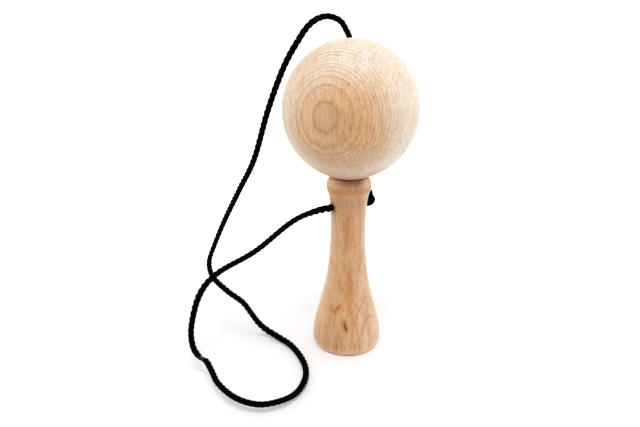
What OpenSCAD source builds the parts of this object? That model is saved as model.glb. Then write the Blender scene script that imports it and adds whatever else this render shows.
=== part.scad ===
// Cup and ball toy: a turned wooden handle with a cup in its head, a drilled wooden ball that
// rests on the cup, and a cord that ties the two together. The handle stands on its foot.

/* [Ball] */
// Diameter of the turned ball
ball_d = 60; // [50:1:70]
// Lean of the ball's bore towards the side that the cord falls to, in degrees
ball_lean = 2; // [0:0.5:6]
// Width of the eased edge round the cord hole's upper mouth
ball_ease = 0.6; // [0.2:0.1:1.5]
// Depth that the ball's knot sits in, above the ball's lowest point
pocket_cover = 4; // [2:0.5:12]

/* [Handle] */
// Height of the handle from the foot to the cup's rim
handle_h = 84.5; // [78:0.5:110]
// Diameter of the flat face that the handle stands on
rest_d = 27; // [20:0.5:30]
// Largest diameter of the foot
foot_d = 33.2; // [30:0.2:40]
// Height of the foot's widest line
foot_h = 4.5; // [2:0.5:10]
// Smallest diameter of the waist
waist_d = 16.4; // [13:0.2:19]
// Height of the waist's narrowest line
waist_h = 62; // [45:1:66]
// Largest diameter of the head
head_d = 20.6; // [20:0.2:26]
// Drop from the rim to the head's widest line
head_drop = 3.8; // [2:0.1:6]

/* [Cup] */
// Diameter of the cup at its rim
cup_d = 16; // [13:0.5:17]
// Depth of the cup
cup_depth = 7; // [4:0.5:7.5]
// Width of the rim round the cup
rim_w = 0.5; // [0.3:0.1:1.2]

/* [Cross bore] */
// Drop from the rim to the cord's cross bore in the neck
bore_drop = 13.5; // [11:0.5:18]
// Turn of the cross bore about the handle's axis, in degrees
bore_turn = 28; // [0:1:45]

/* [Cord] */
// Diameter of the cord
cord_d = 2.5; // [2:0.1:3]
// Share of the cord's diameter that is left where a knot draws it tight
knot_squeeze = 0.74; // [0.6:0.01:0.75]
// Roll of the neck's knot about the bore, in degrees
neck_knot_roll = 80; // [0:5:355]
// Length of the cut tail that stands out of a knot
knot_tail = 0.3; // [0.2:0.1:1]

/* [Fits] */
// Gap between the resting ball and the cup's rim
seat_gap = 0.45; // [0.3:0.05:0.6]
// Gap all round the cord in its bores
cord_gap = 0.3; // [0.2:0.05:0.6]
// Gap between a knot and the wood that it bears on
knot_gap = 0.25; // [0.1:0.05:0.5]
// Gap between the ball's knot and the wall of its pocket
pocket_gap = 0.4; // [0.2:0.1:1]

/* [Hidden] */
$fn = 96;
beech_pale = [0.93, 0.83, 0.70];
beech_warm = [0.84, 0.66, 0.47];
cord_black = [0.05, 0.05, 0.055];

// Turned profile: one curve from the foot to the waist and one from the waist to the head.
// Each curve leaves and arrives along the axis; its two shares say how long it keeps to it.
flare_shares = [0.22, 0.62];
cove_shares = [0.95, 0.23];
edge_steps = 10;
flare_steps = 24;
cove_steps = 16;
head_steps = 12;
cup_steps = 18;

foot_r = foot_d / 2;
rest_r = rest_d / 2;
waist_r = waist_d / 2;
head_r = head_d / 2;
head_h = handle_h - head_drop;
bore_h = handle_h - bore_drop;
bore_d = cord_d + 2 * cord_gap;
cup_r = cup_d / 2;
rim_r = cup_r + rim_w;
cup_ball_r = (cup_r * cup_r + cup_depth * cup_depth) / (2 * cup_depth);
cup_centre_h = handle_h - cup_depth + cup_ball_r;
cup_half_angle = acos((cup_ball_r - cup_depth) / cup_ball_r);

function turned_curve(low, high, shares, steps) = [
    for (i = [1 : steps])
    let (
        t = i / steps,
        s = 1 - t,
        across = t * t * (3 - 2 * t),
        along = 3 * s * s * t * shares[0] + 3 * s * t * t * (1 - shares[1]) + t * t * t
    )
    [low[0] + (high[0] - low[0]) * across, low[1] + (high[1] - low[1]) * along]
];

foot_edge = [
    for (i = [0 : edge_steps])
    let (a = 90 * i / edge_steps)
    [rest_r + (foot_r - rest_r) * sin(a), foot_h * (1 - cos(a))]
];
flare = turned_curve([foot_r, foot_h], [waist_r, waist_h], flare_shares, flare_steps);
cove = turned_curve([waist_r, waist_h], [head_r, head_h], cove_shares, cove_steps);
head_round = [
    for (i = [1 : head_steps])
    let (a = 90 * i / head_steps)
    [rim_r + (head_r - rim_r) * cos(a), head_h + head_drop * sin(a)]
];
cup_wall = [
    for (i = [0 : cup_steps])
    let (a = cup_half_angle * (1 - i / cup_steps))
    [cup_ball_r * sin(a), cup_centre_h - cup_ball_r * cos(a)]
];
handle_side = concat(foot_edge, flare, cove, head_round);

// The handle's radius at a height above the foot's widest line, and where the cross bore passes
function handle_r(h) = lookup(h, [for (p = concat(flare, cove, head_round)) [p[1], p[0]]]);

neck_r = handle_r(bore_h);

ball_r = ball_d / 2;
ball_h = handle_h + seat_gap + sqrt(ball_r * ball_r - cup_r * cup_r);
ball_axis = [-sin(ball_lean), 0, cos(ball_lean)];

// Overhand knot: three rounds of a wave wound twice round a ring, opened at one lobe.
// The standing end comes in along +X, and the cut tail turns out of the lump along +Y.
// The ring's radius and the wave's height are shares of the drawn strand's diameter.
knot_ring_share = 1.25;
knot_wave_share = 0.56;
knot_open = 31;
knot_cut = 40;
knot_steps = 44;
knot_lead_steps = 2;
tail_steps = 3;
knot_cord_d = cord_d * knot_squeeze;
knot_cord_r = knot_cord_d / 2;
knot_ring = knot_ring_share * knot_cord_d;
knot_wave = knot_wave_share * knot_cord_d;
knot_turn = 360 - knot_open - knot_cut;

function knot_curve(a) =
    let (r = knot_ring + knot_wave * cos(3 * a))
    [-r * cos(2 * a), -r * sin(2 * a), knot_wave * sin(3 * a)];

knot_lump = [
    for (i = [0 : knot_steps])
    knot_curve(knot_open + knot_turn * i / knot_steps) - knot_curve(knot_open)
];
tail_bend = [
    for (i = [1 : tail_steps])
    let (a = 90 * i / tail_steps)
    knot_lump[knot_steps] + knot_wave * [-sin(a), 1 - cos(a), 0]
];
tail_end = tail_bend[tail_steps - 1] + [0, knot_tail, 0];
knot_shape = concat(knot_lump, tail_bend, [tail_end]);

// Straight lead that holds the lump a gap away from a flat face
knot_reach = max([for (p = knot_shape) -p[0]]) + knot_cord_r + knot_gap;

// The same lead off the neck, whose round wall flares towards the head above the bore
function rolled(p, a) = [p[0], p[1] * cos(a) - p[2] * sin(a), p[1] * sin(a) + p[2] * cos(a)];

function neck_wall(y, z) = sqrt(max(0, pow(handle_r(bore_h + z), 2) - y * y)) - neck_r;

neck_knot_reach = max([
    for (p = knot_shape)
    let (q = rolled(p, neck_knot_roll))
    neck_wall(q[1], q[2]) - q[0]
]) + knot_cord_r + knot_gap;

// The pocket in the ball's underside takes the knot with room all round.
// Its flat end is given from the ball's centre.
knot_length = knot_reach + max([for (p = knot_shape) p[0]]) + knot_cord_r;
knot_spread = max([for (p = knot_shape) norm([p[1], p[2]])]) + knot_cord_r;
pocket_r = knot_spread + pocket_gap;
pocket_depth = knot_length + pocket_cover;
pocket_end = pocket_depth - ball_r;

// Swept tube: a ring of sides points round each point of a path, turned as little as possible
tube_sides = 8;

function unit(v) = v / norm(v);

function path_tangents(path) =
    let (last = len(path) - 1)
    [for (i = [0 : last]) unit(path[min(i + 1, last)] - path[max(i - 1, 0)])];

function carried_normals(tangents, normal, i = 0, done = []) =
    i == len(tangents) ? done :
    let (n = unit(normal - (normal * tangents[i]) * tangents[i]))
    carried_normals(tangents, n, i + 1, concat(done, [n]));

module tube(path, radii, tangents, first_normal) {
    normals = carried_normals(tangents, first_normal);
    last = len(path) - 1;
    points = [
        for (i = [0 : last])
        let (side = cross(tangents[i], normals[i]))
        for (k = [0 : tube_sides - 1])
        let (a = 360 * k / tube_sides)
        path[i] + radii[i] * (cos(a) * normals[i] + sin(a) * side)
    ];
    walls = [
        for (i = [0 : last - 1])
        for (k = [0 : tube_sides - 1])
        let (a = i * tube_sides + k, b = i * tube_sides + (k + 1) % tube_sides)
        each [[a, a + tube_sides, b], [b, a + tube_sides, b + tube_sides]]
    ];
    caps = [
        for (k = [1 : tube_sides - 2])
        each [[0, k, k + 1], last * tube_sides * [1, 1, 1] + [0, k + 1, k]]
    ];
    polyhedron(points, concat(walls, caps), convexity = 6);
}

// Free stretch of the cord: out of the ball's top, over to one side, down behind its own other
// half to a loop on the floor, and back up to the near mouth of the neck's cross bore
bore_dir = [cos(bore_turn), sin(bore_turn), 0];
neck_exit = [0, 0, bore_h] - neck_r * bore_dir;
ball_exit = [0, 0, ball_h] + ball_r * ball_axis;
exit_pull = 4;
neck_pull = 6;
cord_route = [
    ball_exit,
    [-2, 1, 146.5],
    [-4.5, 3.5, 150.5],
    [-9, 4.5, 152.5],
    [-13.5, 5.5, 152],
    [-18, 5, 149],
    [-22.5, 4, 143],
    [-29, 4.5, 132],
    [-36.5, 4.5, 113.5],
    [-44, 8, 91],
    [-53.5, 18, 73.5],
    [-64, 28.5, 54],
    [-70.5, 28.5, 39.5],
    [-72, 21.5, 33],
    [-68.5, 13, 28.5],
    [-60, 4.5, 25],
    [-51.5, -1, 21.5],
    [-47.5, -0.5, 15],
    [-44.5, 1, 9],
    [-41, 2, 4.5],
    [-35, -0.5, 2],
    [-27, -8.5, 1.5],
    [-21, -21, 1.5],
    [-19.5, -32, 1.5],
    [-22.5, -43, 2],
    [-28.5, -50.5, 3.5],
    [-37.5, -53.5, 4],
    [-47, -51, 5],
    [-55.5, -43.5, 6],
    [-60.5, -35, 7],
    [-63.5, -30.5, 8],
    [-67, -28.5, 9],
    [-71, -23.5, 11.5],
    [-73, -16, 17.5],
    [-69, -12.5, 31.5],
    [-60.5, -11, 41.5],
    [-42.5, -12.5, 53],
    [-26.5, -13, 66.5],
    [-17, -10, 70.5],
    neck_exit
];
route_last = len(cord_route) - 1;
rings_per_step = 2;

function route_pull(i) =
    i == 0 ? exit_pull * ball_axis :
    i == route_last ? neck_pull * bore_dir :
    (cord_route[i + 1] - cord_route[i - 1]) / 2;

function route_at(i, u) =
    let (v = 1 - u)
    v * v * (1 + 2 * u) * cord_route[i] + u * v * v * route_pull(i)
    + u * u * (3 - 2 * u) * cord_route[i + 1] - u * u * v * route_pull(i + 1);

cord_path = concat(
    [for (i = [0 : route_last - 1]) for (k = [0 : rings_per_step - 1]) route_at(i, k / rings_per_step)],
    [neck_exit]
);
cord_middle_tangents = path_tangents(cord_path);
cord_last = len(cord_path) - 1;
cord_tangents = [
    for (i = [0 : cord_last])
    i == 0 ? ball_axis : i == cord_last ? bore_dir : cord_middle_tangents[i]
];

module handle() {
    color(beech_warm)
    difference() {
        rotate_extrude() polygon(concat([[0, 0]], handle_side, cup_wall));
        rotate([0, 0, bore_turn])
            translate([0, 0, bore_h])
            rotate([0, 90, 0])
            cylinder(d = bore_d, h = 2 * foot_d, center = true);
    }
}

// Places what is drawn round the ball's centre, with its bore leaning
module on_ball() {
    translate([0, 0, ball_h])
        rotate([0, -ball_lean, 0])
        children();
}

module ball() {
    ease_r = bore_d / 2 + ball_ease;
    ease_h = sqrt(ball_r * ball_r - ease_r * ease_r);
    color(beech_pale)
    on_ball()
    difference() {
        sphere(d = ball_d);
        cylinder(d = bore_d, h = 2 * ball_d, center = true);
        translate([0, 0, ease_h - ball_ease])
            cylinder(r1 = bore_d / 2, r2 = ease_r + ball_ease, h = 2 * ball_ease);
        translate([0, 0, -ball_d])
            cylinder(r = pocket_r, h = ball_d - ball_r + pocket_depth);
    }
}

module cord() {
    color(cord_black)
    tube(cord_path, [for (p = cord_path) cord_d / 2], cord_tangents, [1, 0, 0]);
}

module neck_cord() {
    color(cord_black)
    rotate([0, 0, bore_turn])
        translate([-neck_r, 0, bore_h])
        rotate([0, 90, 0])
        cylinder(d = cord_d, h = 2 * neck_r);
}

module knot(reach) {
    lead = [for (i = [0 : knot_lead_steps - 1]) [reach * i / knot_lead_steps, 0, 0]];
    path = concat(lead, [for (p = knot_shape) p + [reach, 0, 0]]);
    middle = path_tangents(path);
    rings = [0 : len(path) - 1];
    tangents = [for (i = rings) i == 0 ? [1, 0, 0] : middle[i]];
    radii = [for (i = rings) cord_d / 2 + (knot_cord_r - cord_d / 2) * min(1, i / knot_lead_steps)];
    color(cord_black) tube(path, radii, tangents, [0, 1, 0]);
}

// The lump stands above the bore, on the straight pull of the cord
module neck_knot() {
    rotate([0, 0, bore_turn])
        translate([neck_r, 0, bore_h])
        rotate([neck_knot_roll, 0, 0])
        knot(neck_knot_reach);
}

module ball_cord() {
    color(cord_black)
    on_ball()
        translate([0, 0, pocket_end])
        cylinder(d = cord_d, h = ball_r - pocket_end);
}

// The lump hangs in its pocket below the end of the bore
module ball_knot() {
    on_ball()
        translate([0, 0, pocket_end])
        rotate([0, 90, 0])
        knot(knot_reach);
}

handle();
ball();
cord();
neck_cord();
neck_knot();
ball_cord();
ball_knot();
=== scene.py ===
import math

import bmesh
import bpy
import numpy as np
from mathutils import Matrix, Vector


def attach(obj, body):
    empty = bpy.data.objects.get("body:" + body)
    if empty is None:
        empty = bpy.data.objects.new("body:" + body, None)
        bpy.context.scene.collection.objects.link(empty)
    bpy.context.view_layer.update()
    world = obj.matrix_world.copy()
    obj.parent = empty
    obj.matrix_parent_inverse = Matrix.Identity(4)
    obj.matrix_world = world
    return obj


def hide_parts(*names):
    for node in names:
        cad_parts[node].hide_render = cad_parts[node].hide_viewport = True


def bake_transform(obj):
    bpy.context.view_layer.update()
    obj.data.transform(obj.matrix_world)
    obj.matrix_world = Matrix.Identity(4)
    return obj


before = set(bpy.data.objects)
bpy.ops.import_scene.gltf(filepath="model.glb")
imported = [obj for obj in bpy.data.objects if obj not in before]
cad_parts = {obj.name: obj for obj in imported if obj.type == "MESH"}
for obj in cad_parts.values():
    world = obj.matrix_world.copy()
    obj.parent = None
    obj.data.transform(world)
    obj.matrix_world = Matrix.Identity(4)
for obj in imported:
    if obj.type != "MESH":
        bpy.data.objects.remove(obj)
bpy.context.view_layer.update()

# Lengths are in millimetres until a mesh is made
MM = 0.001
UP = np.array([0.0, 0.0, 1.0])


def node_points(node):
    """The points of a node of the frame."""
    return np.array([v.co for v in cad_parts[node].data.vertices]) / MM


# The turn of the neck's bore, the lean of the ball's, which is towards the side that the cord
# falls to, and places measured on the frame
BORE_TURN = math.radians(28)
BALL_LEAN = math.radians(2)
bore_dir = np.array([math.cos(BORE_TURN), math.sin(BORE_TURN), 0.0])
bore_side = np.array([-bore_dir[1], bore_dir[0], 0.0])
ball_axis = np.array([-math.sin(BALL_LEAN), 0.0, math.cos(BALL_LEAN)])
cord_d = np.ptp(node_points("ball_cord")[:, 1])
ball_r = np.ptp(node_points("ball")[:, 1]) / 2
ball_cord_at = node_points("ball_cord") @ ball_axis
ball_centre = np.array([0.0, 0.0, (ball_cord_at.max() - ball_r) / math.cos(BALL_LEAN)])
ball_exit = ball_centre + ball_r * ball_axis
pocket_top = ball_exit + (ball_cord_at.min() - ball_cord_at.max()) * ball_axis
foot_r = np.hypot(*node_points("handle")[:, :2].T).max()
neck_r = (node_points("neck_cord") @ bore_dir).max()
bore_centre = np.array([0.0, 0.0, node_points("neck_cord")[:, 2].mean()])
neck_exit = bore_centre - neck_r * bore_dir
neck_far_mouth = bore_centre + neck_r * bore_dir

# Camera at the viewpoint of the photograph, which is 640 pixels wide. The pitch is in degrees.
PHOTO_W = 640
FOCAL_PX = 474
SENSOR_W = 36
CAMERA_AT = (-13.2, -210.7, 133.6)
CAMERA_PITCH = 17.56
CAMERA_NEAR = 10


def make_camera():
    """The camera, level from side to side and looking down by its pitch."""
    data = bpy.data.cameras.new("camera")
    data.sensor_width = SENSOR_W
    data.lens = FOCAL_PX / PHOTO_W * SENSOR_W
    data.clip_start = CAMERA_NEAR * MM
    camera = bpy.data.objects.new("camera", data)
    camera.location = Vector(CAMERA_AT) * MM
    camera.rotation_euler = (math.radians(90 - CAMERA_PITCH), 0, 0)
    bpy.context.scene.collection.objects.link(camera)
    bpy.context.scene.camera = camera


# Free stretch of the cord: out of the ball's top, over to one side, down behind its own other
# half to a loop on the floor, and back up to the near mouth of the neck's cross bore
EXIT_PULL = 4
NECK_PULL = 6
cord_route = np.array([
    ball_exit,
    (-2, 1, 146.5),
    (-4.5, 3.5, 150.5),
    (-9, 4.5, 152.5),
    (-13.5, 5.5, 152),
    (-18, 5, 149),
    (-22.5, 4, 143),
    (-29, 4.5, 132),
    (-36.5, 4.5, 113.5),
    (-44, 8, 91),
    (-53.5, 18, 73.5),
    (-64, 28.5, 54),
    (-70.5, 28.5, 39.5),
    (-72, 21.5, 33),
    (-68.5, 13, 28.5),
    (-60, 4.5, 25),
    (-51.5, -1, 21.5),
    (-47.5, -0.5, 15),
    (-44.5, 1, 9),
    (-41, 2, 4.5),
    (-35, -0.5, 2),
    (-27, -8.5, 1.5),
    (-21, -21, 1.5),
    (-19.5, -32, 1.5),
    (-22.5, -43, 2),
    (-28.5, -50.5, 3.5),
    (-37.5, -53.5, 4),
    (-47, -51, 5),
    (-55.5, -43.5, 6),
    (-60.5, -35, 7),
    (-63.5, -30.5, 8),
    (-67, -28.5, 9),
    (-71, -23.5, 11.5),
    (-73, -16, 17.5),
    (-69, -12.5, 31.5),
    (-60.5, -11, 41.5),
    (-42.5, -12.5, 53),
    (-26.5, -13, 66.5),
    (-17, -10, 70.5),
    neck_exit,
])
ROUTE_STEPS = 40


def route_points():
    """Points along the route, joined by cubic Hermite spans that leave and enter the wood along its
    bores."""
    pulls = np.gradient(cord_route, axis=0)
    pulls[0] = EXIT_PULL * ball_axis
    pulls[-1] = NECK_PULL * bore_dir
    u = np.linspace(0, 1, ROUTE_STEPS, endpoint=False)[:, None]
    v = 1 - u
    spans = [
        v * v * (1 + 2 * u) * here + u * v * v * pull + u * u * (3 - 2 * u) * there - u * u * v * tug
        for here, there, pull, tug in zip(cord_route, cord_route[1:], pulls, pulls[1:])
    ]
    return np.vstack(spans + [cord_route[-1:]])


def walked(points):
    """How far along a line each of its points is."""
    return np.r_[0, np.cumsum(np.linalg.norm(np.diff(points, axis=0), axis=1))]


def even_points(points, step):
    """The same line with its points about one step apart, and how far along each one is."""
    lengths = walked(points)
    at = np.linspace(0, lengths[-1], max(2, round(lengths[-1] / step) + 1))
    return np.stack([np.interp(at, lengths, points[:, k]) for k in range(3)], axis=1), at


def carried_frames(points):
    """Tangents, normals and sides along a line, turned as little as possible."""
    tangents = np.gradient(points, axis=0)
    tangents /= np.linalg.norm(tangents, axis=1)[:, None]
    normals = np.empty_like(points)
    normal = np.eye(3)[np.abs(tangents[0]).argmin()]
    for i, tangent in enumerate(tangents):
        normal = normal - normal @ tangent * tangent
        normal /= np.linalg.norm(normal)
        normals[i] = normal
    return tangents, normals, np.cross(tangents, normals)


# Twisted cord: three strands laid round each other, each with its own yarns. The strands stand
# out past the cord's nominal diameter, as the hollows between them fall short of it.
STRANDS = 3
ROPE_FULL = 1.18
LAY = 7.8
STRAND_SHARE = 0.64
LOOSE_SHARE = 0.6
YARNS = 7
YARN_RELIEF = 0.025
ROPE_SIDES = 72
ROPE_STEP = 0.35
TIP_SHARE = 0.3


def rope_reach(angles, turns, radius, looseness):
    """How far the rope's surface is from its centre at each angle of one section."""
    strand_r = (STRAND_SHARE - LOOSE_SHARE * looseness) * radius
    centre_r = radius * (1 - YARN_RELIEF) - strand_r
    part = 2 * math.pi / STRANDS
    off = (angles + part / 2) % part - part / 2
    reach = centre_r * np.cos(off) + np.sqrt(strand_r ** 2 - (centre_r * np.sin(off)) ** 2)
    round_strand = np.arctan2(reach * np.sin(off), reach * np.cos(off) - centre_r)
    yarn = np.cos(YARNS * round_strand - 2 * math.pi * STRANDS * turns)
    return reach + YARN_RELIEF * radius * yarn


def rope(name, points, diameters, looseness):
    """A closed mesh of twisted cord along a line, with a sealed tip at its far end. Where its lay is
    loose, the strands stand out more."""
    tangents, normals, sides = carried_frames(points)
    steps = np.linalg.norm(np.diff(points, axis=0), axis=1)
    lays = LAY * diameters / cord_d
    turns = np.r_[0, np.cumsum(2 * steps / (lays[1:] + lays[:-1]))]
    around = np.linspace(0, 2 * math.pi, ROPE_SIDES, endpoint=False)
    bm = bmesh.new()
    rings = []
    for i, point in enumerate(points):
        radius = ROPE_FULL * diameters[i] / 2
        reach = rope_reach(around - 2 * math.pi * turns[i], turns[i], radius, looseness[i])
        ring = np.outer(reach * np.cos(around), normals[i])
        ring += np.outer(reach * np.sin(around), sides[i])
        rings.append([bm.verts.new(p) for p in (point + ring) * MM])
    first = bm.verts.new(points[0] * MM)
    last = bm.verts.new((points[-1] + TIP_SHARE * diameters[-1] * tangents[-1]) * MM)
    close_skin(bm, first, rings, last)
    return finished_mesh(name, bm)


def close_skin(bm, first, rings, last):
    """Faces from a first point over rings of points to a last point."""
    sides = len(rings[0])
    for k in range(sides):
        n = (k + 1) % sides
        bm.faces.new((first, rings[0][n], rings[0][k]))
        bm.faces.new((last, rings[-1][k], rings[-1][n]))
        for low, high in zip(rings, rings[1:]):
            bm.faces.new((low[k], low[n], high[n], high[k]))


def finished_mesh(name, bm):
    """An object of that name made from the mesh, shaded smooth."""
    bmesh.ops.recalc_face_normals(bm, faces=bm.faces)
    mesh = bpy.data.meshes.new(name)
    bm.to_mesh(mesh)
    bm.free()
    mesh.shade_smooth()
    piece = bpy.data.objects.new(name, mesh)
    bpy.context.scene.collection.objects.link(piece)
    return piece


# How full the cord's lay is along its free stretch, by the number of the route's point
CORD_FULLNESS = [
    (0, 0.92), (3.5, 0.92), (4.5, 1.02), (11, 1.07), (12.3, 0.95), (14.5, 1.07), (17, 0.98),
    (19.3, 1.14), (21, 1.04), (23.5, 1.0), (24.6, 0.86), (28, 0.88), (29.5, 0.96), (33, 1.0),
    (34, 1.12), (35.5, 0.96), (37.7, 0.94), (38.5, 1.25), (39, 1.15),
]

# Where the cord was folded sharply once: thinner over a short reach, and paler grey between two
# distances from the fold
KINK = np.array([-65.5, -29.3, 8.6])
KINK_PINCH = 0.3
KINK_REACH = 1.8
KINK_GREY_REACH = (2.2, 0.6)

# Overhand knot: three rounds of a wave wound twice round a ring, opened at one lobe
KNOT_LOBES = 3
KNOT_ROUNDS = 2
KNOT_SQUEEZE = 0.74
KNOT_RING_SHARE = 1.25
KNOT_WAVE_SHARE = 0.56
KNOT_OPEN = math.radians(31)
KNOT_CUT = math.radians(40)
KNOT_TAIL = 0.3
KNOT_STEPS = 240
TAIL_STEPS = 12
NECK_KNOT_ROLL = math.radians(80)
knot_d = KNOT_SQUEEZE * cord_d
knot_ring = KNOT_RING_SHARE * knot_d
knot_wave = KNOT_WAVE_SHARE * knot_d


def knot_shape():
    """Points of a knot from where the standing end enters it along +X to its cut tail."""
    turn = np.linspace(KNOT_OPEN, 2 * math.pi - KNOT_CUT, KNOT_STEPS + 1)
    wave = KNOT_LOBES * turn
    wind = KNOT_ROUNDS * turn
    r = knot_ring + knot_wave * np.cos(wave)
    lump = np.stack([-r * np.cos(wind), -r * np.sin(wind), knot_wave * np.sin(wave)], axis=1)
    lump -= lump[0]
    tail = np.linspace(0, math.pi / 2, TAIL_STEPS + 1)[1:]
    bend = lump[-1] + knot_wave * np.stack([-np.sin(tail), 1 - np.cos(tail), 0 * tail], axis=1)
    return np.vstack([lump, bend, bend[-1:] + (0, KNOT_TAIL, 0)])


def held_cord(node, start, mouth, side, up):
    """Line and diameters of the cord from one mouth of its bore through the knot at the other.
    The knot's place comes from its node; side and up are the knot's own Y and Z."""
    shape = knot_shape()
    ahead = (mouth - start) / np.linalg.norm(mouth - start)
    far = ((node_points(node) - mouth) @ ahead).max()
    reach = far - shape[:, 0].max() - knot_d / 2
    knot = mouth + (reach + shape[:, :1]) * ahead + shape[:, 1:2] * side + shape[:, 2:] * up
    line, at = even_points(np.vstack([start, mouth, knot]), ROPE_STEP * KNOT_SQUEEZE)
    mouth_at = np.linalg.norm(mouth - start)
    drawn = np.clip((at - mouth_at) / reach, 0, 1)
    return line, cord_d + (knot_d - cord_d) * drawn


# Torn fibres round the near mouth of the neck's bore, where the drill broke through. Those at the
# sides of the mouth are shorter than those over and under it.
SPLINTERS = 15
SPLINTER_SEED = 5
SPLINTER_RING = 1.85
SPLINTER_STRAY = 0.35
SPLINTER_LEANS = (0.4, 1.1)
SPLINTER_SWAY = 0.25
SPLINTER_LENGTHS = (1.4, 2.8)
SPLINTER_SIDE_SHARE = 0.55
SPLINTER_WIDTHS = (0.5, 1.0)
SPLINTER_ROOT = 0.6
SLIVER_ROWS = 6
SLIVER_SIDES = 6
SLIVER_FLAT = 0.45
SLIVER_CURL = 0.12


def splinters():
    """Thin tapered slivers that stand up out of the lip of the bore."""
    draw = np.random.default_rng(SPLINTER_SEED)
    out = -bore_dir
    bm = bmesh.new()
    for i in range(SPLINTERS):
        a = 2 * math.pi * (i + draw.uniform(-SPLINTER_STRAY, SPLINTER_STRAY)) / SPLINTERS
        rim = math.sin(a) * UP - math.cos(a) * bore_side
        drop = neck_r - math.sqrt(neck_r ** 2 - (SPLINTER_RING * math.cos(a)) ** 2)
        root = neck_exit + SPLINTER_RING * rim - (SPLINTER_ROOT + drop) * out
        lean = out + draw.uniform(*SPLINTER_LEANS) * rim
        lean += draw.uniform(-SPLINTER_SWAY, SPLINTER_SWAY) * np.cross(out, rim)
        share = SPLINTER_SIDE_SHARE + (1 - SPLINTER_SIDE_SHARE) * abs(math.sin(a))
        length = SPLINTER_ROOT + draw.uniform(*SPLINTER_LENGTHS) * share
        width = draw.uniform(*SPLINTER_WIDTHS)
        add_sliver(bm, root, lean / np.linalg.norm(lean), rim, length, width)
    return finished_mesh("bore_splinters", bm)


def add_sliver(bm, root, ahead, flat, length, width):
    """One sliver: a flat, pointed blade that curls towards its flat side."""
    flat = flat - flat @ ahead * ahead
    flat /= np.linalg.norm(flat)
    wide = np.cross(ahead, flat)
    rows = []
    for t in np.arange(SLIVER_ROWS) / SLIVER_ROWS:
        half = width / 2 * (1 - t ** 2)
        middle = root + length * t * ahead + SLIVER_CURL * length * t * t * flat
        rows.append([
            bm.verts.new((middle + half * (math.cos(a) * wide + SLIVER_FLAT * math.sin(a) * flat)) * MM)
            for a in np.linspace(0, 2 * math.pi, SLIVER_SIDES, endpoint=False)
        ])
    tip = bm.verts.new((root + length * ahead + SLIVER_CURL * length * flat) * MM)
    base = bm.verts.new(root * MM)
    close_skin(bm, base, rows, tip)


# Materials, made of nodes. A Mix node has sockets for each type of data; these are for colours.
MIX_SHARE = 0
MIX_FIRST = 6
MIX_SECOND = 7
MIX_RESULT = 2


class Shader:
    """Adds shader nodes to one material or world. Most calls give back an output socket."""

    def __init__(self, owner):
        owner.use_nodes = True
        self.tree = owner.node_tree
        self.tree.nodes.clear()

    def put(self, socket, value):
        """Link an input to another socket, or give it a plain value."""
        if isinstance(value, bpy.types.NodeSocket):
            self.tree.links.new(value, socket)
        else:
            socket.default_value = value

    def node(self, kind, inputs=(), **settings):
        """A node of that kind, with its settings made before its inputs."""
        made = self.tree.nodes.new("ShaderNode" + kind)
        for key, value in settings.items():
            setattr(made, key, value)
        for key, value in dict(inputs).items():
            self.put(made.inputs[key], value)
        return made

    def math(self, operation, *values):
        return self.node("Math", enumerate(values), operation=operation).outputs[0]

    def times(self, first, second):
        return self.math("MULTIPLY", first, second)

    def linear(self, value, gain, offset):
        """The value times a gain, plus an offset."""
        return self.math("MULTIPLY_ADD", value, gain, offset)

    def about_zero(self, share, reach):
        """A share of 0 to 1, spread over that reach with its middle at 0."""
        return self.linear(share, reach, -reach / 2)

    def rise(self, value, low, high):
        """0 below low, 1 above high and smooth between; low may be the larger."""
        made = self.node("MapRange", {0: value, 1: low, 2: high}, interpolation_type="SMOOTHSTEP")
        return made.outputs[0]

    def curve(self, value, points):
        """Straight steps through pairs of a value and what it gives. The values start at 0, and the
        last pair holds the largest value and the largest result."""
        wide, high = points[-1]
        made = self.node("FloatCurve", {"Value": self.math("DIVIDE", value, wide)})
        line = made.mapping.curves[0].points
        line[0].location = (0.0, points[0][1] / high)
        line[1].location = (1.0, 1.0)
        for x, y in points[1:-1]:
            line.new(x / wide, y / high)
        for point in line:
            point.handle_type = "VECTOR"
        made.mapping.update()
        return self.times(made.outputs[0], high)

    def vector(self, operation, *values):
        """A vector or, for a length, a distance or a dot product, a plain value."""
        made = self.node("VectorMath", operation=operation)
        for socket, value in zip([s for s in made.inputs if s.enabled], values):
            self.put(socket, value)
        return next(s for s in made.outputs if s.enabled)

    def dot(self, place, way):
        return self.vector("DOT_PRODUCT", place, tuple(way))

    def scaled(self, way, size):
        return self.node("VectorMath", {0: way, "Scale": size}, operation="SCALE").outputs[0]

    def stretched(self, parts, sizes):
        """A vector of three sockets, each divided by its own size."""
        shares = [self.math("DIVIDE", part, size) for part, size in zip(parts, sizes)]
        return self.node("CombineXYZ", enumerate(shares)).outputs[0]

    def place(self):
        """Where on its piece a point is, in millimetres."""
        return self.scaled(self.node("TexCoord").outputs["Object"], 1 / MM)

    def height(self, place):
        return self.node("SeparateXYZ", {0: place}).outputs["Z"]

    def noise(self, place, detail=2.0, roughness=0.5):
        inputs = {"Vector": place, "Scale": 1.0, "Detail": detail, "Roughness": roughness}
        return self.node("TexNoise", inputs).outputs[0]

    def cells(self, place):
        """How far a point is from the middle of its cell, and the cell's own random colour."""
        made = self.node("TexVoronoi", {"Vector": place, "Scale": 1.0})
        return made.outputs["Distance"], made.outputs["Color"]

    def mix(self, share, first, second, blend="MIX"):
        made = self.node("Mix", data_type="RGBA", blend_type=blend)
        self.put(made.inputs[MIX_SHARE], share)
        self.put(made.inputs[MIX_FIRST], first)
        self.put(made.inputs[MIX_SECOND], second)
        return made.outputs[MIX_RESULT]

    def finish(self, shader):
        self.node("OutputMaterial", {"Surface": shader})


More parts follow.
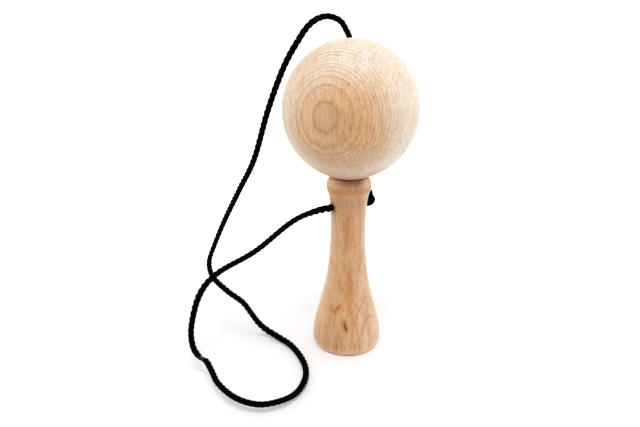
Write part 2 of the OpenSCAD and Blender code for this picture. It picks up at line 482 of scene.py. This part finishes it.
def tone(red, green, blue):
    """A colour given as it shows on a screen, 0 to 255, in the renderer's own scale, by the
    standard sRGB formula."""
    scale = [c / 255 for c in (red, green, blue)]
    return tuple(c / 12.92 if c <= 0.04045 else ((c + 0.055) / 1.055) ** 2.4 for c in scale) + (1.0,)


def factor(red, green, blue):
    """A colour that the one below it is multiplied by."""
    return (red, green, blue, 1.0)


def grey(value):
    return (value, value, value, 1.0)


# How each piece was cut from the tree. The year rings lie round a pith line that runs upright
# beside the piece: its place, the way from it into the piece and how far off the first wood is.
# The rings are pairs of a depth behind the first wood and the number of the ring there. Peak bends
# them to a point, and waves and jags are how far they waver smoothly and in small steps.
# Each ring ends in a dark line: pairs of a ring and its line's strength, the usual spacing of the
# lines and how far a line reaches to each side. The lines are clear on one side, given by the way
# that it looks, where it starts and is full, and the heights over the pith's place between which it
# ends. The ball lies wholly below these. Elsewhere the lines keep the faintest share of their
# strength. The side that faces the camera is painted darker and deeper in tone, as shade where the
# light is dim; it is given in the same way, and outward says which parts of the way from the
# piece's middle count. Pores fill a share of their cells, whose sizes are round, along and out from
# the pith, and they fade a little on the side of painted shade. The ball's bullseye looks towards
# its pith, and the handle's pointed arcs look away from theirs.
BULLSEYE = np.array([-0.378, -0.926, 0.0])
BALL_PITH_GAP = 136
BALL_CUT = {
    "pith": ball_centre + (ball_r + BALL_PITH_GAP) * BULLSEYE,
    "way": -BULLSEYE,
    "first_wood": BALL_PITH_GAP,
    "rings": [
        (0, 0.4), (0.5, 1), (2.5, 2), (4.2, 3), (5.4, 4), (6.45, 5), (7.4, 6), (8.65, 7), (9.6, 8),
        (10.7, 9), (12.3, 10), (14.1, 11), (60, 40),
    ],
    "strengths": [
        (0, 0.7), (1, 0.7), (2, 0.55), (3, 0.52), (4, 0.45), (5, 0.85), (6, 0.65), (7, 0.4), (8, 0.45),
        (9, 0.85), (10, 0.85), (11, 0.65), (39, 0.65), (40, 1),
    ],
    "peak": 0.0,
    "waves": 0.3,
    "jags": 0.65,
    "spacing": 1.3,
    "line_width": 0.6,
    "middle": ball_centre,
    "outward": (1, 1, 1),
    "face": (-0.2, -0.96, -0.2),
    "face_edge": (0.55, 0.96),
    "clear": (-0.75, -0.62, 0.2),
    "clear_edge": (0.1, 0.95),
    "clear_top": (200, 100),
    "faintest": 0.36,
    "pore_sizes": (0.5, 3.2, 0.5),
    "pore_share": 0.3,
    "pore_fade": 0.2,
}
ARCS_TURN = math.radians(47)
ARCS = np.array([math.sin(ARCS_TURN), -math.cos(ARCS_TURN), 0.0])
HANDLE_PITH_GAP = 123.4
HANDLE_CUT = {
    "pith": -(HANDLE_PITH_GAP + foot_r) * ARCS,
    "way": ARCS,
    "first_wood": HANDLE_PITH_GAP,
    "rings": [(0, 0.5), (1.32, 1), (33.48, 13)],
    "strengths": [(0, 1), (13, 1)],
    "peak": 0.1,
    "waves": 0.9,
    "jags": 0.35,
    "spacing": 2.7,
    "line_width": 0.65,
    "middle": np.zeros(3),
    "outward": (1, 1, 0),
    "face": (-0.35, -0.94, 0.0),
    "face_edge": (0.42, 0.98),
    "clear": tuple(ARCS),
    "clear_edge": (0.72, 0.95),
    "clear_top": (42, 32),
    "faintest": 0.08,
    "pore_sizes": (0.5, 2.8, 0.5),
    "pore_share": 0.36,
    "pore_fade": 0.0,
}

# Sizes of beech's figure, in millimetres round, along and out from the pith, and how often its
# rings wave in each millimetre of X, Y and Z
JAG_SIZES = (1.0, 1.2, 3.0)
RAY_SIZES = (0.55, 5, 30)
BREAK_SIZES = (0.9, 2.2, 3)
SPECK_SIZES = (0.4, 0.7, 0.4)
FIBRE_SIZES = (0.5, 16, 0.5)
STREAK_SIZES = (3.6, 60, 3.6)
WAVE_RATES = (0.06, 0.06, 0.03)

# Where each part of the figure starts to show and is full, and how strong the slow ones are. A line
# is full up to its core, and the flattest is the least slope to the rings, squared.
STREAK_EDGE = (0.35, 0.68)
FIBRE_EDGE = (0.45, 0.65)
RAY_EDGE = (0.57, 0.67)
RAY_SIDE = (0.95, 0.7)
SPECK_EDGE = (0.4, 0.7)
PORE_EDGE = (1.0, 0.4)
PORE_FAINTEST = 0.3
BREAK_EDGE = (0.3, 0.6)
WHOLE_EDGE = (0.2, 0.9)
LINE_CORE = 0.06
LATE_EDGE = (0.4, 1.0)
LATE_DEPTH = 0.3
YEAR_DEPTH = 0.3
FLATTEST = 0.01

# How finely the figure's noise is broken up
FIBRE_DETAIL = 3
FIGURE_ROUGHNESS = 0.6

# Sanded, unvarnished wood: light goes into it a little way, and its fibres give a soft sheen
WOOD_GLOSS = 0.25
WOOD_DEEP = 0.45
WOOD_REACH = (1.7, 1.1, 0.6)
WOOD_SHEEN = 0.6
WOOD_SHEEN_ROUGH = 0.3
WOOD_SHEEN_TINT = tone(255, 236, 222)
WOOD_ROUGH = 0.42
FIBRE_ROUGH = 0.18
FIBRE_RELIEF = 0.5
PORE_RELIEF = 0.3
WOOD_BUMP = 0.25
WOOD_BUMP_DEPTH = 0.06


def grain(shader, cut):
    """Sockets that follow a piece's grain. In millimetres: the place itself, how far along, round
    and out from the pith it is, and how far off the nearest line of a ring. Then its year, how far
    into the year it is, the strength of its line, and how much it is on the side of painted shade,
    on the side with clear lines and where rays show."""
    place = shader.place()
    sideways = np.cross(UP, cut["way"])
    from_pith = shader.vector("SUBTRACT", place, tuple(cut["pith"]))
    deep = shader.dot(from_pith, cut["way"])
    wide = shader.dot(from_pith, sideways)
    along = shader.dot(from_pith, UP)
    out = shader.math("SQRT", shader.math("ADD", shader.times(deep, deep), shader.times(wide, wide)))

    normal = shader.node("TexCoord").outputs["Normal"]
    across = shader.dot(normal, cut["way"])
    beside = shader.math("ABSOLUTE", shader.dot(normal, sideways))
    steep = shader.linear(across, shader.times(across, -1), 1)
    slope = shader.math("SQRT", shader.math("MAXIMUM", steep, FLATTEST))

    waves = shader.noise(shader.vector("MULTIPLY", place, WAVE_RATES))
    jags = shader.noise(shader.stretched((wide, along, out), JAG_SIZES))
    peak = shader.linear(shader.math("ABSOLUTE", wide), -cut["peak"], -cut["first_wood"])
    wave = shader.about_zero(waves, 2 * cut["waves"])
    jag = shader.times(slope, shader.about_zero(jags, 2 * cut["jags"]))
    depth = shader.math("ADD", shader.math("ADD", out, peak), wave)
    years = shader.curve(shader.math("ADD", depth, jag), cut["rings"])
    season = shader.math("FRACT", years)
    from_line = shader.math("MINIMUM", season, shader.math("SUBTRACT", 1, season))

    off = shader.vector("SUBTRACT", place, tuple(cut["middle"]))
    outward = shader.vector("NORMALIZE", shader.vector("MULTIPLY", off, cut["outward"]))
    clear = shader.rise(shader.dot(outward, cut["clear"]), *cut["clear_edge"])
    return {
        "place": place,
        "along": along,
        "round": wide,
        "out": out,
        "line": shader.math("DIVIDE", shader.times(from_line, cut["spacing"]), slope),
        "year": shader.math("FLOOR", years),
        "season": season,
        "strength": shader.curve(years, cut["strengths"]),
        "face": shader.rise(shader.dot(outward, cut["face"]), *cut["face_edge"]),
        "clear": shader.times(clear, shader.rise(along, *cut["clear_top"])),
        "ray_seen": shader.rise(beside, *RAY_SIDE),
    }


def pores(shader, axes, cut):
    """Where the pores are, each as wide as its own draw says, and how dark each one is."""
    gap, colour = shader.cells(shader.stretched(axes, cut["pore_sizes"]))
    draws = shader.node("SeparateColor", {0: colour}).outputs
    edge = shader.linear(draws[0], cut["pore_share"], cut["pore_share"] / 2)
    seen = shader.rise(shader.math("DIVIDE", gap, edge), *PORE_EDGE)
    return seen, shader.linear(draws[1], 1 - PORE_FAINTEST, PORE_FAINTEST)


def late_wood(shader, wood, axes, cut):
    """How dark the year is: its line, which breaks up where the lines aren't clear, over a slow
    rise through the year."""
    broken = shader.rise(shader.noise(shader.stretched(axes, BREAK_SIZES)), *BREAK_EDGE)
    whole = shader.math("MAXIMUM", shader.rise(wood["clear"], *WHOLE_EDGE), broken)
    line = shader.times(shader.rise(wood["line"], cut["line_width"], LINE_CORE), whole)
    line = shader.times(line, wood["strength"])
    line = shader.times(line, shader.linear(wood["clear"], 1 - cut["faintest"], cut["faintest"]))
    slow = shader.times(shader.rise(wood["season"], *LATE_EDGE), LATE_DEPTH)
    return shader.math("MAXIMUM", line, slow)


def beech(name, cut, tones, marks=()):
    """Bare sanded beech: broad streaks, fibres, year rings, rays, specks and pores, and its own
    marks."""
    material = bpy.data.materials.new(name)
    shader = Shader(material)
    wood = grain(shader, cut)
    face = wood["face"]
    axes = (wood["round"], wood["along"], wood["out"])
    streak = shader.noise(shader.stretched(axes, STREAK_SIZES), FIBRE_DETAIL, FIGURE_ROUGHNESS)
    fibre = shader.noise(shader.stretched(axes, FIBRE_SIZES), FIBRE_DETAIL, FIGURE_ROUGHNESS)
    ray = shader.noise(shader.stretched(axes, RAY_SIZES), roughness=FIGURE_ROUGHNESS)
    speck = shader.noise(shader.stretched(axes, SPECK_SIZES), roughness=FIGURE_ROUGHNESS)
    year = shader.node("TexWhiteNoise", {"W": wood["year"]}, noise_dimensions="1D").outputs["Value"]
    pore, pore_dark = pores(shader, axes, cut)

    colour = shader.mix(shader.rise(streak, *STREAK_EDGE), tones["pale"], tones["warm"])
    colour = shader.mix(shader.times(year, YEAR_DEPTH), colour, tones["warm"])
    # Painted shade: the side that faces the camera is darker and deeper in tone, and the fibres, rings
    # and pores there change with it
    colour = shader.mix(face, colour, tones["face"], "MULTIPLY")

    fibre_tone = shader.mix(face, tones["fibre"], tones["shaded_fibre"])
    ring_tone = shader.mix(face, tones["ring"], tones["shaded_ring"])
    fibre_depth = shader.linear(face, tones["fibre_face"], tones["fibre_depth"])
    ring_depth = shader.linear(face, tones["ring_face"], tones["ring_depth"])
    pore_depth = shader.times(pore_dark, shader.linear(face, -cut["pore_fade"], tones["pore_depth"]))
    seen_ray = shader.times(shader.rise(ray, *RAY_EDGE), wood["ray_seen"])
    layers = [
        (shader.rise(fibre, *FIBRE_EDGE), fibre_depth, fibre_tone),
        (late_wood(shader, wood, axes, cut), ring_depth, ring_tone),
        (seen_ray, tones["ray_depth"], ring_tone),
        (shader.rise(speck, *SPECK_EDGE), tones["speck_depth"], ring_tone),
        (pore, pore_depth, tones["fleck"]),
    ]
    for share, depth, layer_tone in layers:
        colour = shader.mix(shader.times(share, depth), colour, layer_tone, "MULTIPLY")
    for mark in marks:
        colour = mark(shader, wood, colour)

    relief = shader.math("SUBTRACT", shader.times(fibre, FIBRE_RELIEF), shader.times(pore, PORE_RELIEF))
    bump = shader.node("Bump", {
        "Strength": WOOD_BUMP, "Distance": WOOD_BUMP_DEPTH * MM, "Height": relief,
    })
    surface = shader.node("BsdfPrincipled", {
        "Base Color": colour,
        "Roughness": shader.linear(fibre, FIBRE_ROUGH, WOOD_ROUGH),
        "Normal": bump.outputs[0],
        "Subsurface Weight": WOOD_DEEP,
        "Subsurface Radius": WOOD_REACH,
        "Subsurface Scale": MM,
        "Specular IOR Level": WOOD_GLOSS,
        "Sheen Weight": WOOD_SHEEN,
        "Sheen Roughness": WOOD_SHEEN_ROUGH,
        "Sheen Tint": WOOD_SHEEN_TINT,
    })
    shader.finish(surface.outputs[0])
    return material


# Tones of the two pieces. Pale and warm are the bare wood. The side that faces the camera is painted
# shade: one factor darkens it, the fibre and ring tones made for it hold there, and the values named
# for it are added to a depth there. Fibre, ring and fleck are factors too.
BALL_TONES = {
    "pale": tone(250, 241, 229),
    "warm": tone(244, 225, 202),
    "face": factor(0.85, 0.65, 0.45),
    "fibre": factor(0.82, 0.77, 0.7),
    "shaded_fibre": factor(0.83, 0.72, 0.56),
    "fibre_depth": 0.6,
    "fibre_face": 0.4,
    "ring": factor(0.54, 0.4, 0.26),
    "shaded_ring": factor(0.67, 0.38, 0.08),
    "ring_depth": 0.75,
    "ring_face": 0.1,
    "ray_depth": 0.34,
    "speck_depth": 0.12,
    "fleck": factor(0.5, 0.36, 0.22),
    "pore_depth": 0.65,
}
HANDLE_TONES = {
    "pale": tone(240, 214, 189),
    "warm": tone(224, 180, 140),
    "face": factor(0.95, 0.81, 0.62),
    "fibre": factor(0.75, 0.65, 0.53),
    "shaded_fibre": factor(0.75, 0.65, 0.53),
    "fibre_depth": 0.55,
    "fibre_face": 0.0,
    "ring": factor(0.6, 0.46, 0.34),
    "shaded_ring": factor(0.72, 0.54, 0.38),
    "ring_depth": 0.5,
    "ring_face": 0.0,
    "ray_depth": 0.2,
    "speck_depth": 0.27,
    "fleck": factor(0.7, 0.56, 0.42),
    "pore_depth": 0.7,
}
TORN_TONES = dict(HANDLE_TONES, pale=tone(216, 152, 88), warm=tone(178, 110, 54))

# Marks in the wood: how often their edges waver in each millimetre of X, Y and Z, and how soft the
# edges of the cup's painted light are
FLECK_RATES = (2.2, 2.2, 0.5)
BAND_RATES = (0.5, 0.5, 0.2)
BAND_DETAIL = 3
CUP_RIM_EDGE = 0.4
CUP_FLOOR_EDGE = 0.5


def on_ball(x, y, z):
    """The point of the ball's skin in that direction."""
    way = np.array([x, y, z])
    return ball_centre + ball_r * way / np.linalg.norm(way)


def on_handle(azimuth, height, radius):
    """A point beside the handle's axis; azimuth 0 faces the camera and grows to its right."""
    a = math.radians(azimuth)
    return np.array([radius * math.sin(a), -radius * math.cos(a), height])


def fleck(start, end, width, colour, depth, blend="MIX"):
    """A mark that lies along a line in the wood and fades out sideways."""
    def add(shader, wood, below):
        line = end - start
        off = shader.vector("SUBTRACT", wood["place"], tuple(start))
        share = shader.math("MAXIMUM", shader.dot(off, line / (line @ line)), 0)
        nearest = shader.scaled(tuple(line), shader.math("MINIMUM", share, 1))
        ragged = shader.noise(shader.vector("MULTIPLY", wood["place"], FLECK_RATES))
        gap = shader.vector("DISTANCE", off, nearest)
        gap = shader.math("ADD", gap, shader.about_zero(ragged, width))
        return shader.mix(shader.times(shader.rise(gap, width, 0.0), depth), below, colour, blend)
    return add


def ring_band(height, spread, colour, depth):
    """A band of another tone round the handle at one height, with a ragged edge."""
    def add(shader, wood, below):
        broken = shader.noise(shader.vector("MULTIPLY", wood["place"], BAND_RATES), BAND_DETAIL)
        level = shader.math("ADD", shader.height(wood["place"]), shader.about_zero(broken, spread))
        gap = shader.math("ABSOLUTE", shader.math("SUBTRACT", level, height))
        return shader.mix(shader.times(shader.rise(gap, spread, 0.0), depth), below, colour)
    return add


def cup_painted_light(radius, floor, colour, depth):
    """The hollow of the cup in a paler tone: painted light that lifts the shade in the gap under the
    ball.
    """
    def add(shader, wood, below):
        gap = shader.vector("LENGTH", shader.vector("MULTIPLY", wood["place"], (1, 1, 0)))
        within = shader.rise(gap, radius + CUP_RIM_EDGE, radius)
        above = shader.rise(shader.height(wood["place"]), floor - CUP_FLOOR_EDGE, floor)
        return shader.mix(shader.times(shader.times(within, above), depth), below, colour)
    return add


# Tones of the marks, and the marks themselves: where each lies, its width, its tone and its depth
ORANGE = tone(196, 110, 38)
COVE_ORANGE = tone(193, 114, 40)
STRAW = tone(250, 212, 166)
CREAM = tone(250, 228, 208)
# Painted light for the cup's hollow
CUP_LIGHT_TONE = tone(250, 210, 162)
NECK_BROWN = tone(166, 126, 96)
BARK_BROWN = tone(150, 78, 24)
HEAD_BROWN = tone(150, 76, 20)
BULLSEYE_BROWN = tone(186, 146, 106)
# Painted shade for the underside of the ball
BALL_UNDERSIDE_SHADE = tone(180, 136, 102)
BALL_SHOULDER = factor(0.85, 0.75, 0.62)
BALL_LOW_GREY = factor(0.95, 1.01, 1.22)
WARM_STREAK = factor(0.92, 0.7, 0.55)
CUP_R = 8.1
CUP_FLOOR = 77
LIP_DEPTH = 0.1
BALL_MARKS = (
    fleck(on_ball(-0.13, -0.99, 0.05), on_ball(-0.15, -0.98, -0.17), 7, ORANGE, 0.22),
    fleck(on_ball(-0.9, -0.4, 0.0), on_ball(-0.62, -0.4, 0.68), 20, BALL_SHOULDER, 0.5, "MULTIPLY"),
    # Painted shade on the underside of the ball
    fleck(on_ball(-0.3, -0.35, -0.9), on_ball(0.25, -0.35, -0.9), 11, BALL_UNDERSIDE_SHADE, 0.88),
    # Paler and less warm low on the ball's front, taking back part of the painted shade of the camera's
    # side there
    fleck(on_ball(-0.35, -0.72, -0.6), on_ball(0.15, -0.75, -0.6), 12, BALL_LOW_GREY, 0.8, "MULTIPLY"),
    fleck(on_ball(-0.38, -0.92, 0.08), on_ball(-0.38, -0.92, -0.08), 9, BULLSEYE_BROWN, 0.3),
)
HANDLE_MARKS = (
    # Painted light on the head's left, lifting the shadow that the ball casts there
    fleck(on_handle(-60, 82, 9), on_handle(-25, 82, 9.6), 6, STRAW, 0.6),
    fleck(on_handle(-24, 84.6, 9), on_handle(22, 84.6, 9), 5, HEAD_BROWN, 0.4),
    fleck(on_handle(-6, 84.6, 9), on_handle(10, 84.6, 9), 5, HEAD_BROWN, 0.58),
    # Painted light in the hollow of the cup
    cup_painted_light(CUP_R, CUP_FLOOR, CUP_LIGHT_TONE, 0.75),
    ring_band(74.5, 5, NECK_BROWN, 0.28),
    ring_band(79.4, 3, COVE_ORANGE, 0.55),
    # Painted light: a paler band low on the foot, which lifts the shade near the floor
    ring_band(2, 3, CREAM, 0.35),
    fleck(neck_exit, neck_exit + LIP_DEPTH * bore_dir, 2.6, ORANGE, 0.8),
    fleck(on_handle(0, 67, 8.3), on_handle(-2, 54, 8.2), 4, WARM_STREAK, 0.6, "MULTIPLY"),
    fleck(on_handle(-3, 44, 9.2), on_handle(-3, 34, 10.6), 6, WARM_STREAK, 0.5, "MULTIPLY"),
    fleck(on_handle(-55, 24, 12.5), on_handle(-52, 8, 16.2), 6, STRAW, 0.2),
    fleck(on_handle(-40, 22.5, 12.7), on_handle(-22, 23.5, 12.5), 4, ORANGE, 0.25),
    fleck(on_handle(-18, 25, 12.2), on_handle(-25.5, 23.3, 12.5), 1.6, ORANGE, 0.85),
    fleck(on_handle(-28, 22.4, 12.8), on_handle(-28.5, 21.5, 13), 1.2, ORANGE, 0.8),
    fleck(on_handle(-40, 22.8, 12.7), on_handle(-35, 22.4, 12.8), 1.6, ORANGE, 0.25),
    fleck(on_handle(-8.5, 17.4, 14.2), on_handle(-5, 15, 14.8), 2.8, ORANGE, 0.7),
    fleck(on_handle(-6.5, 16.8, 14.3), on_handle(-3.8, 14.6, 14.9), 1.3, BARK_BROWN, 0.95),
    fleck(on_handle(-7.2, 17.6, 14.2), on_handle(-2.2, 13.4, 15.2), 0.6, BARK_BROWN, 0.9),
    fleck(on_handle(-16, 12.8, 15.4), on_handle(-15.5, 10.6, 15.7), 0.55, BARK_BROWN, 0.55),
    fleck(on_handle(-18.5, 7.2, 16.3), on_handle(-18, 4.8, 16.5), 0.55, BARK_BROWN, 0.55),
    fleck(on_handle(-5, 6.4, 16.4), on_handle(-4.6, 4.8, 16.5), 0.5, BARK_BROWN, 0.4),
    fleck(on_handle(11.5, 7.2, 16.3), on_handle(12, 5.2, 16.5), 0.5, BARK_BROWN, 0.4),
    fleck(on_handle(-16.5, 65, 8.2), on_handle(-16, 62, 8.2), 0.6, BARK_BROWN, 0.4),
    fleck(on_handle(-21, 51, 8.6), on_handle(-20, 49, 8.8), 0.6, BARK_BROWN, 0.4),
)

# Black cord: how often its yarns and its worn patches change in each millimetre, where they start
# to show and are full, and its tones
YARN_RATES = (5.0, 5.0, 5.0)
YARN_DETAIL = 3
YARN_EDGE = (0.45, 0.75)
FOLDED_YARN_EDGE = (0.3, 0.6)
PATCH_RATES = (0.12, 0.12, 0.12)
PATCH_EDGE = (0.4, 0.7)
CORD_BLACK = tone(1, 1, 1)
CORD_WORN = tone(6, 6, 7)
CORD_FOLDED = tone(66, 66, 72)
CORD_ROUGH = 0.75
YARN_ROUGH = 0.2
CORD_GLOSS = 0.03
CORD_BUMP = 0.3
CORD_BUMP_DEPTH = 0.08


def cord_black():
    """Black synthetic cord: matt yarns, a little greyer where they are worn."""
    material = bpy.data.materials.new("cord_black")
    shader = Shader(material)
    place = shader.place()
    yarn = shader.noise(shader.vector("MULTIPLY", place, YARN_RATES), YARN_DETAIL)
    patch = shader.noise(shader.vector("MULTIPLY", place, PATCH_RATES))
    worn = shader.times(shader.rise(yarn, *YARN_EDGE), shader.rise(patch, *PATCH_EDGE))
    folded = shader.rise(shader.vector("DISTANCE", place, tuple(KINK)), *KINK_GREY_REACH)
    folded = shader.times(folded, shader.rise(yarn, *FOLDED_YARN_EDGE))
    colour = shader.mix(folded, shader.mix(worn, CORD_BLACK, CORD_WORN), CORD_FOLDED)
    bump = shader.node("Bump", {
        "Strength": CORD_BUMP, "Distance": CORD_BUMP_DEPTH * MM, "Height": yarn,
    })
    surface = shader.node("BsdfPrincipled", {
        "Base Color": colour,
        "Roughness": shader.linear(yarn, YARN_ROUGH, CORD_ROUGH),
        "Normal": bump.outputs[0],
        "Specular IOR Level": CORD_GLOSS,
    })
    shader.finish(surface.outputs[0])
    return material


# Stage: a white floor that keeps the shadow, a bright tent of light and one soft lamp. Seen by the
# camera, the floor fades to plain white between two distances from a point in front of the toy, and
# it has a little warm light close under the foot. For all other light it is a plain grey.
FLOOR_HALF = 3000
FLOOR_DROP = 0.05
FLOOR_SEEN = (0.95, 0.957, 0.967, 1.0)
FLOOR_BOUNCE = grey(0.83)
FLOOR_FADE = (170, 370)
FADE_FROM = (0, -150, 0)
FOOT_GLOW = 0.17
FOOT_WARM = tone(255, 222, 196)
FOOT_FADE = (17.6, 14.6)
WHITE = grey(1.0)

# The tent is dimmer at its top than at its sides, and dim on the camera's side
TENT_WAY = (0.15, 0.99, 0.0)
TENT_TURN = (-0.9, -0.1)
TENT_RISE = (0.2, 0.75)
TENT_FRONT = 0.12
TENT_SIDES = 1.7
TENT_TOP = 0.75
KEY_AT = (-40, -420, 900)
KEY_SIZE = 600
KEY_POWER = 4.8


def make_floor():
    """The floor, just under the foot."""
    bm = bmesh.new()
    corners = np.array([(-1, -1, 0), (1, -1, 0), (1, 1, 0), (-1, 1, 0)]) * FLOOR_HALF - FLOOR_DROP * UP
    bm.faces.new([bm.verts.new(corner * MM) for corner in corners])
    floor = finished_mesh("floor", bm)
    floor.data.materials.append(floor_white())


def floor_white():
    """Matt white that the camera and mirrors see brighter than the rest of the light does."""
    material = bpy.data.materials.new("floor_white")
    shader = Shader(material)
    place = shader.place()
    far = shader.rise(shader.vector("DISTANCE", place, FADE_FROM), *FLOOR_FADE)
    near = shader.rise(shader.vector("LENGTH", place), *FOOT_FADE)
    matt = shader.node("BsdfDiffuse", {"Color": FLOOR_SEEN})
    glow = shader.node("Emission", {
        "Color": shader.mix(near, WHITE, FOOT_WARM),
        "Strength": shader.linear(near, FOOT_GLOW, far),
    })
    seen = shader.node("AddShader", {0: matt.outputs[0], 1: glow.outputs[0]})
    bounce = shader.node("BsdfDiffuse", {"Color": FLOOR_BOUNCE})
    rays = shader.node("LightPath").outputs
    looked_at = shader.math("MAXIMUM", rays["Is Camera Ray"], rays["Is Glossy Ray"])
    either = shader.node("MixShader", {0: looked_at, 1: bounce.outputs[0], 2: seen.outputs[0]})
    shader.finish(either.outputs[0])
    return material


def make_light():
    """The tent of light, which the camera sees as at least plain white, and the lamp."""
    world = bpy.data.worlds.new("tent")
    bpy.context.scene.world = world
    shader = Shader(world)
    look = shader.node("TexCoord").outputs["Generated"]
    above = shader.rise(shader.height(look), *TENT_RISE)
    behind = shader.rise(shader.dot(look, TENT_WAY), *TENT_TURN)
    side_light = shader.linear(above, TENT_TOP - TENT_SIDES, TENT_SIDES)
    tent = shader.times(side_light, shader.linear(behind, 1 - TENT_FRONT, TENT_FRONT))
    strength = shader.math("MAXIMUM", tent, shader.node("LightPath").outputs["Is Camera Ray"])
    sky = shader.node("Background", {"Color": WHITE, "Strength": strength})
    shader.node("OutputWorld", {"Surface": sky.outputs[0]})
    lamp = bpy.data.lights.new("key", "AREA")
    lamp.shape = "DISK"
    lamp.size = KEY_SIZE * MM
    lamp.energy = KEY_POWER
    key = bpy.data.objects.new("key", lamp)
    key.location = Vector(KEY_AT) * MM
    key.rotation_euler = (-key.location).to_track_quat("-Z", "Y").to_euler()
    bpy.context.scene.collection.objects.link(key)


def paint(piece, material):
    """Give a piece one material and the record's slot for it."""
    piece.data.materials.clear()
    piece.data.materials.append(material)


make_camera()

# The cord's free stretch, with its fuller places and its one fold
cord_curve = route_points()
cord_line, cord_at = even_points(cord_curve, ROPE_STEP)
cord_number = np.interp(cord_at, walked(cord_curve), np.arange(len(cord_curve)) / ROUTE_STEPS)
fullness = np.interp(cord_number, *zip(*CORD_FULLNESS))
kink_at = cord_at[np.linalg.norm(cord_line - KINK, axis=1).argmin()]
pinch = KINK_PINCH * np.exp(-((cord_at - kink_at) / KINK_REACH) ** 2)
free_cord = rope("free_cord", cord_line, cord_d * fullness * (1 - pinch), fullness - 1)

# The cord's two held ends, each with its knot
roll_cos = math.cos(NECK_KNOT_ROLL)
roll_sin = math.sin(NECK_KNOT_ROLL)
neck_knot_side = roll_cos * bore_side + roll_sin * UP
neck_knot_up = roll_cos * UP - roll_sin * bore_side
neck_line, neck_widths = held_cord("neck_knot", neck_exit, neck_far_mouth, neck_knot_side, neck_knot_up)
neck_end = rope("neck_end_of_cord", neck_line, neck_widths, np.zeros(len(neck_line)))
ball_knot_side = np.array([0.0, 1.0, 0.0])
ball_knot_up = np.array([ball_axis[2], 0.0, -ball_axis[0]])
ball_line, ball_widths = held_cord("ball_knot", ball_exit, pocket_top, ball_knot_side, ball_knot_up)
ball_end = rope("ball_end_of_cord", ball_line, ball_widths, np.zeros(len(ball_line)))

# The three pieces of cord in black, in place of the frame's own cord and knots. The neck's end rides
# on the handle and the ball's end on the end of the cord.
black = cord_black()
for piece in (free_cord, neck_end, ball_end):
    paint(piece, black)
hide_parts("cord")
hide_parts("neck_cord", "neck_knot")
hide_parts("ball_cord", "ball_knot")
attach(neck_end, "handle")
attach(ball_end, "cord_end")
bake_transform(free_cord)

# The two pieces of wood, and the torn fibres at the neck's bore
ball_beech = beech("ball_beech", BALL_CUT, BALL_TONES, BALL_MARKS)
handle_beech = beech("handle_beech", HANDLE_CUT, HANDLE_TONES, HANDLE_MARKS)
torn_beech = beech("torn_beech", HANDLE_CUT, TORN_TONES)
paint(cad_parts["ball"], ball_beech)
paint(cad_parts["handle"], handle_beech)
torn = splinters()
paint(torn, torn_beech)
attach(torn, "handle")

make_floor()
make_light()
view = bpy.context.scene.view_settings
view.view_transform = "Standard"
